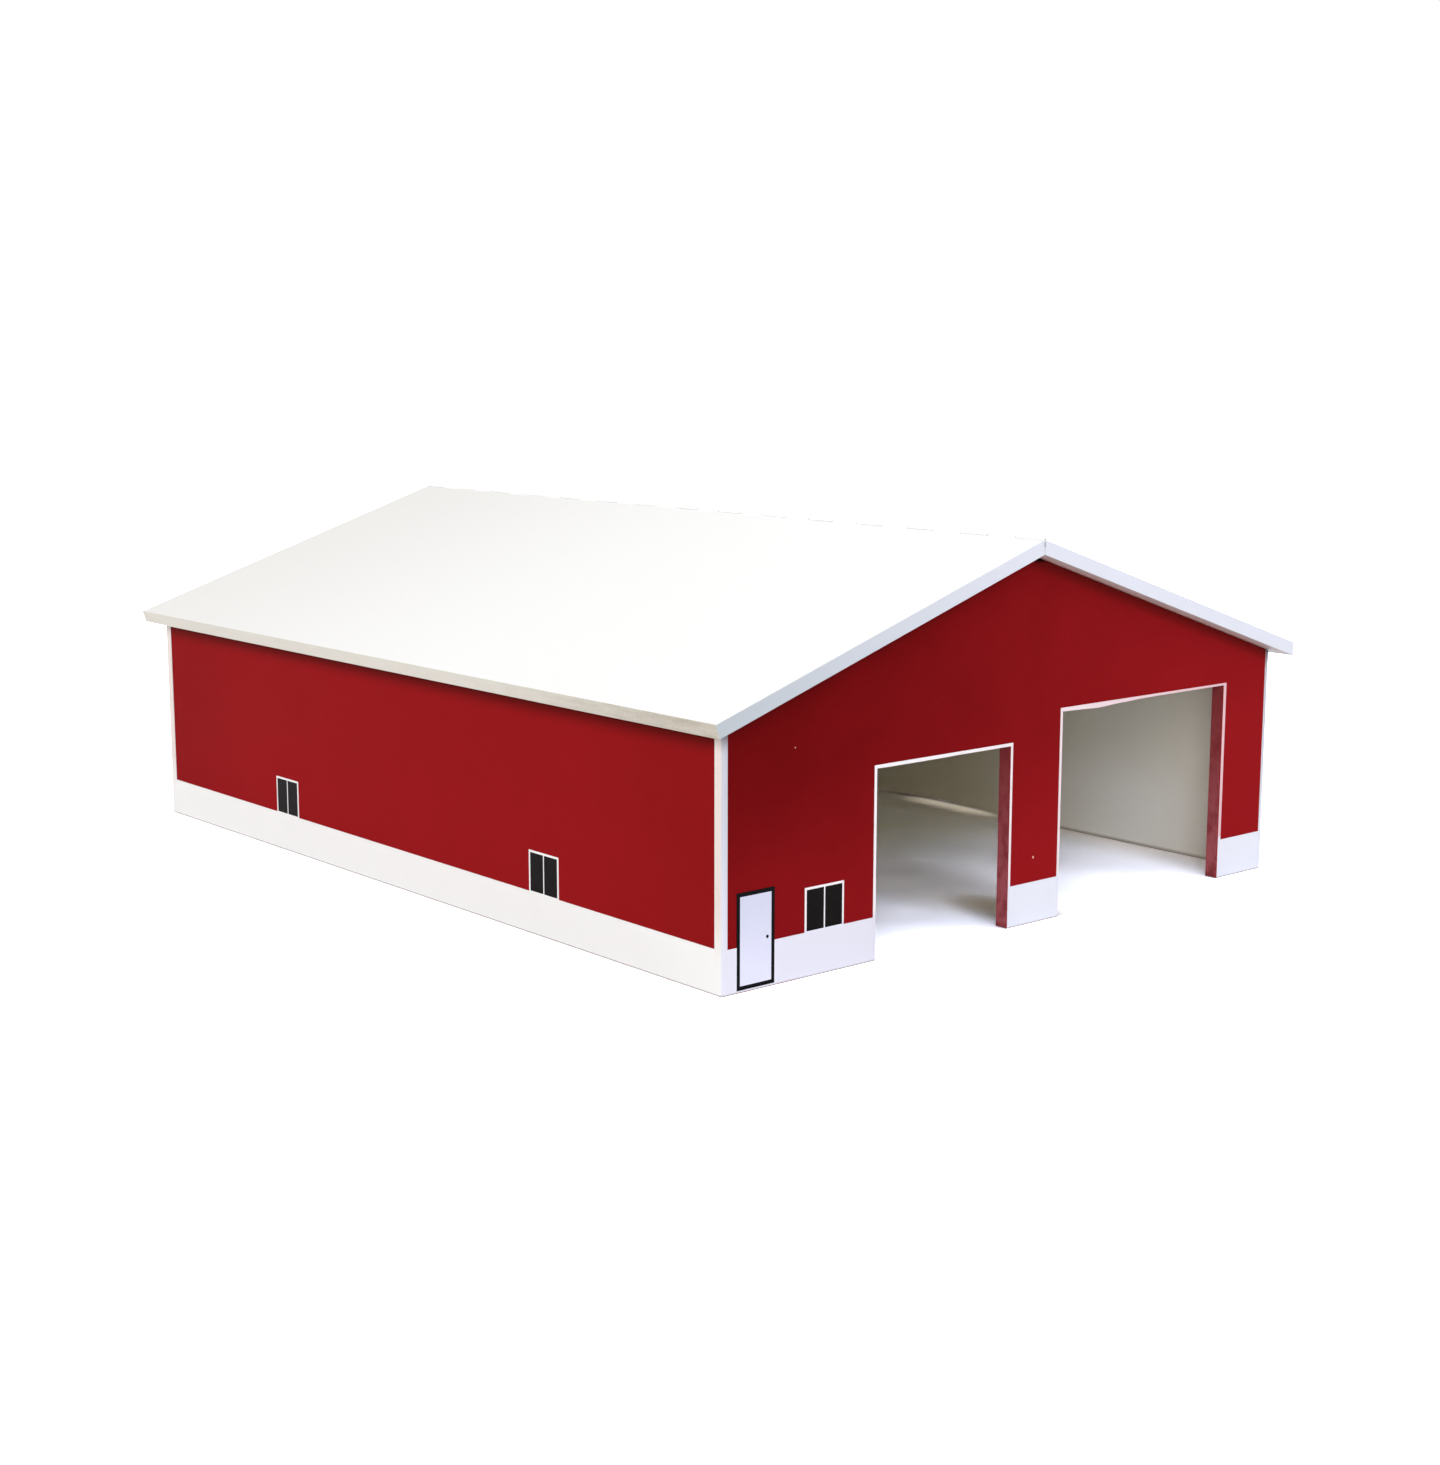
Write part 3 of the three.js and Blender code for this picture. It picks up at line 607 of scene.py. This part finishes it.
# Painted shade on the floor deep inside the shed
FLOOR_SEEN_DEEP = (1.1, 1.07, 0.91, 1)
FLOOR_SEEN_OUT = (2.25, 2.25, 2.42, 1)
FLOOR_DEEP_Y = (-159, -35)
FLOOR_BRIGHT = (1.12, 1.12, 1.11, 1)
FLOOR_BLOTCH = (0.95, 0.96, 0.97, 1)
# Shade behind the pier between the doorways, long and at its foot: x, y and half sizes in millimetres
PIER_SHADE = (17.8, -112.6, 42, 110)
PIER_SHADE_COLOUR = (1.12, 1.09, 1.14, 1)
PIER_FOOT_SHADE = (14.9, -185, 21, 40)
PIER_FOOT_COLOUR = (0.3, 0.21, 0.05, 1)
PIER_FOOT_STRENGTH = 0.76
# Shade beside the right wall
BESIDE_WALL_X = (117, 147)
BESIDE_WALL_STRENGTH = 0.73
BESIDE_WALL_COLOUR = (1.12, 1.01, 0.89, 1)
# Daylight that leaks in under the right wall's bowed foot: along Y and X, middle and half sizes in mm
LEAK = (-26, 147, 36, 400)
LEAK_REACH = 12 * MM
LEAK_FADE = 1 * MM
LEAK_GLOW = 0.34
LEAK_COLOUR = (1, 0.88, 0.7, 1)


def seen_rays(tree):
    """1 for the rays that show the background as it is: from the camera, off gloss and through glass."""
    rays = tree.nodes.new("ShaderNodeLightPath")
    seen = rays.outputs["Is Camera Ray"]
    for kind in ("Is Glossy Ray", "Is Transmission Ray"):
        either = tree.nodes.new("ShaderNodeMath")
        either.operation = "MAXIMUM"
        tree.links.new(seen, either.inputs[0])
        tree.links.new(rays.outputs[kind], either.inputs[1])
        seen = either.outputs[0]
    return seen


def stage_floor():
    """White paper. What is seen of it is lit past white, keeps the shade inside and under the shed,
    and turns plain white away from it."""
    mesh = bpy.data.meshes.new("floor")
    h = FLOOR_HALF
    mesh.from_pydata([(-h, -h, 0), (h, -h, 0), (h, h, 0), (-h, h, 0)], [], [(0, 1, 2, 3)])
    floor = add("floor", mesh)
    p = Paint("floor_white", Roughness=1, Specular_IOR_Level=0)
    seen = seen_rays(p.tree)
    low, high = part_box("right_wall")
    beside = p.math("SUBTRACT", p.math("ABSOLUTE", p.along(RIGHT)), high[0])
    beyond = p.math("SUBTRACT", p.along(BACK), (low[1] + high[1]) / 2)
    beyond = p.math("SUBTRACT", p.math("ABSOLUTE", beyond), (high[1] - low[1]) / 2)
    away = p.math("MAXIMUM", beside, beyond)
    within = p.math("LESS_THAN", away, 0)
    # Painted shade on the floor deep inside
    inside = p.mix(p.fade(BACK, FLOOR_DEEP_Y), FLOOR_SEEN, FLOOR_SEEN_DEEP)
    inside = p.mix(p.blob(RIGHT, BACK, PIER_SHADE), inside, PIER_SHADE_COLOUR)
    at_foot = p.math("MULTIPLY", p.blob(RIGHT, BACK, PIER_FOOT_SHADE), PIER_FOOT_STRENGTH)
    inside = p.mix(at_foot, inside, PIER_FOOT_COLOUR)
    beside_wall = p.math("MULTIPLY", p.fade(RIGHT, BESIDE_WALL_X), BESIDE_WALL_STRENGTH)
    inside = p.mix(beside_wall, inside, BESIDE_WALL_COLOUR)
    blotch = p.step(p.noise(30, detail=3, roughness=0.6, stretch=(1.6, 1, 1), shift=6.0), 0.35, 0.7)
    inside = p.mix(1, inside, p.mix(blotch, FLOOR_BRIGHT, FLOOR_BLOTCH), blend="MULTIPLY")
    p.put("Base Color", p.mix(seen, FLOOR, p.mix(within, FLOOR_SEEN_OUT, inside)))
    leak = p.math("MULTIPLY", p.step(p.along(RIGHT), low[0] - LEAK_REACH, low[0]), p.blob(BACK, RIGHT, LEAK))
    leak = p.math("MULTIPLY", leak, p.step(p.along(RIGHT), high[0], low[0] + LEAK_FADE))
    leak = p.math("MULTIPLY", p.math("MULTIPLY", leak, within), LEAK_GLOW)
    glow = p.step(away, 0, FLOOR_WHITE_AT)
    p.put("Emission Color", p.mix(p.math("GREATER_THAN", away, 0), LEAK_COLOUR, WHITE))
    p.put("Emission Strength", p.math("MULTIPLY", p.math("MAXIMUM", glow, leak), seen))
    mesh.materials.append(p.material)


def background(tree, strength):
    """White light from all round."""
    node = tree.nodes.new("ShaderNodeBackground")
    node.inputs["Color"].default_value = WHITE
    node.inputs["Strength"].default_value = strength
    return node.outputs[0]


def world_light(strength):
    """A soft light from all round, which is seen as plain white."""
    world = bpy.data.worlds.new("studio")
    bpy.context.scene.world = world
    world.use_nodes = True
    tree = world.node_tree
    tree.nodes.clear()
    pick = tree.nodes.new("ShaderNodeMixShader")
    tree.links.new(seen_rays(tree), pick.inputs[0])
    tree.links.new(background(tree, strength), pick.inputs[1])
    tree.links.new(background(tree, 1), pick.inputs[2])
    output = tree.nodes.new("ShaderNodeOutputWorld")
    tree.links.new(pick.outputs[0], output.inputs[0])


def area_lamp(name, place, target, size, power, colour=(1, 1, 1)):
    """A square lamp that looks at a target."""
    data = bpy.data.lights.new(name, "AREA")
    data.shape = "SQUARE"
    data.size = size
    data.energy = power
    data.color = colour
    lamp = add(name, data)
    lamp.location = place
    lamp.rotation_euler = (Vector(target) - Vector(place)).to_track_quat("-Z", "Y").to_euler()


stage_floor()
world_light(0.15)
area_lamp("window_front_left", (-1.75, -1.45, 0.75), (0, -0.1, 0.05), size=1.5, power=16.5)
area_lamp("window_front", (-1.1, -1.9, 0.75), (0, -0.1, 0.05), size=1.5, power=10)
area_lamp("lamp_back_left", (-1.5, 1.0, 0.6), (-0.1, 0.1, 0.05), size=1.0, power=13)
area_lamp("lamp_top", (0.1, -0.9, 1.9), (0, 0, 0.05), size=1.4, power=14.5)
area_lamp("lamp_over", (0.5, -0.3, 2.0), (0, 0, 0.05), size=1.2, power=8.5)
area_lamp("lamp_front_right", (0.8, -1.0, 0.5), (0.1, -0.2, 0.05), size=0.5, power=1.8,
          colour=(0.97, 0.98, 1))
area_lamp("lamp_back_right", (1.7, 1.3, 0.8), (0.1, 0.1, 0.05), size=1.0, power=6)

# Camera at the photograph's view: lens in millimetres, and where it stands and looks
CAMERA_LENS = 55.202
CAMERA_PLACE = (-0.63771, -0.77615, 0.22284)
CAMERA_FORWARD = (0.6364753, 0.7522694, -0.1702645)
CAMERA_DOWN = (-0.1091617, -0.1306707, -0.9853978)


def camera():
    data = bpy.data.cameras.new("camera")
    data.lens = CAMERA_LENS
    data.sensor_width = 36
    data.clip_start = 0.01
    thing = add("camera", data)
    forward = Vector(CAMERA_FORWARD).normalized()
    right = Vector(CAMERA_DOWN).cross(forward).normalized()
    up = right.cross(forward)
    turn = Matrix((right, up, -forward)).transposed()
    thing.matrix_world = Matrix.Translation(CAMERA_PLACE) @ turn.to_4x4()
    bpy.context.scene.camera = thing


camera()
bpy.context.scene.view_settings.view_transform = "Standard"
